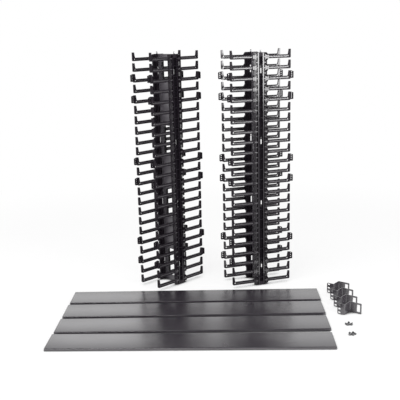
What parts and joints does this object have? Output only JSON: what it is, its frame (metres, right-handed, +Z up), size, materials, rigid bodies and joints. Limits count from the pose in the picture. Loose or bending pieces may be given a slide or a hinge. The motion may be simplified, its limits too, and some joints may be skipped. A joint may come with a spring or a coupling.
{
  "type": "vertical cable manager",
  "caption": "Vertical cable manager kit laid out: slotted finger towers with clips and stacking pins, clip-on covers, offset rack brackets and screws",
  "frame": {"origin": "middle of the kit's footprint on the floor", "axes": "+X along the covers to the viewer's right, +Y away from the viewer, +Z up"},
  "size_m": [1.206, 0.9102, 1.0267],
  "materials": {
    "comb_plastic": "satin",
    "spine_plastic": "satin",
    "clip_plastic": "satin",
    "pin_steel": "satin",
    "cover_paint": "satin",
    "bracket_paint": "satin",
    "screw_steel": "satin"
  },
  "bodies": {
    "left_tower": {"left_tower_spine": "spine_plastic", "left_tower_stacking_pins": "pin_steel", "left_tower_comb_front_left_lower": "comb_plastic", "left_tower_comb_front_left_middle": "comb_plastic", "left_tower_comb_front_left_upper": "comb_plastic", "left_tower_clips_front_left": "clip_plastic", "left_tower_comb_front_right_lower": "comb_plastic", "left_tower_comb_front_right_middle": "comb_plastic", "left_tower_comb_front_right_upper": "comb_plastic", "left_tower_clips_front_right": "clip_plastic", "left_tower_comb_rear_right_lower": "comb_plastic", "left_tower_comb_rear_right_middle": "comb_plastic", "left_tower_comb_rear_right_upper": "comb_plastic", "left_tower_clips_rear_right": "clip_plastic", "left_tower_comb_rear_left_lower": "comb_plastic", "left_tower_comb_rear_left_middle": "comb_plastic", "left_tower_comb_rear_left_upper": "comb_plastic", "left_tower_clips_rear_left": "clip_plastic"},
    "right_tower": {"right_tower_spine": "spine_plastic", "right_tower_stacking_pins": "pin_steel", "right_tower_comb_front_left_lower": "comb_plastic", "right_tower_comb_front_left_middle": "comb_plastic", "right_tower_comb_front_left_upper": "comb_plastic", "right_tower_clips_front_left": "clip_plastic", "right_tower_comb_front_right_lower": "comb_plastic", "right_tower_comb_front_right_middle": "comb_plastic", "right_tower_comb_front_right_upper": "comb_plastic", "right_tower_clips_front_right": "clip_plastic", "right_tower_comb_rear_right_lower": "comb_plastic", "right_tower_comb_rear_right_middle": "comb_plastic", "right_tower_comb_rear_right_upper": "comb_plastic", "right_tower_clips_rear_right": "clip_plastic", "right_tower_comb_rear_left_lower": "comb_plastic", "right_tower_comb_rear_left_middle": "comb_plastic", "right_tower_comb_rear_left_upper": "comb_plastic", "right_tower_clips_rear_left": "clip_plastic"},
    "cover_1_body": {"cover_1": "cover_paint"},
    "cover_2_body": {"cover_2": "cover_paint"},
    "cover_3_body": {"cover_3": "cover_paint"},
    "cover_4_body": {"cover_4": "cover_paint"},
    "bracket_1_body": {"bracket_1": "bracket_paint"},
    "bracket_2_body": {"bracket_2": "bracket_paint"},
    "bracket_3_body": {"bracket_3": "bracket_paint"},
    "bracket_4_body": {"bracket_4": "bracket_paint"},
    "screws": {"rack_screws": "screw_steel"}
  },
  "joints": [
    {"name": "right_tower_lift", "type": "slide", "parent": "left_tower", "child": "right_tower", "axis": [0, 0, 1], "range_m": [0, 0.06]},
    {"name": "cover_1_lift", "type": "slide", "parent": "left_tower", "child": "cover_1_body", "axis": [0, 0, 1], "range_m": [0, 0.06]},
    {"name": "cover_2_lift", "type": "slide", "parent": "left_tower", "child": "cover_2_body", "axis": [0, 0, 1], "range_m": [0, 0.06]},
    {"name": "cover_3_lift", "type": "slide", "parent": "left_tower", "child": "cover_3_body", "axis": [0, 0, 1], "range_m": [0, 0.06]},
    {"name": "cover_4_lift", "type": "slide", "parent": "left_tower", "child": "cover_4_body", "axis": [0, 0, 1], "range_m": [0, 0.06]},
    {"name": "bracket_1_lift", "type": "slide", "parent": "left_tower", "child": "bracket_1_body", "axis": [0, 0, 1], "range_m": [0, 0.06]},
    {"name": "bracket_2_lift", "type": "slide", "parent": "left_tower", "child": "bracket_2_body", "axis": [0, 0, 1], "range_m": [0, 0.06]},
    {"name": "bracket_3_lift", "type": "slide", "parent": "left_tower", "child": "bracket_3_body", "axis": [0, 0, 1], "range_m": [0, 0.06]},
    {"name": "bracket_4_lift", "type": "slide", "parent": "left_tower", "child": "bracket_4_body", "axis": [0, 0, 1], "range_m": [0, 0.06]},
    {"name": "screws_lift", "type": "slide", "parent": "left_tower", "child": "screws", "axis": [0, 0, 1], "range_m": [0, 0.06]}
  ]
}
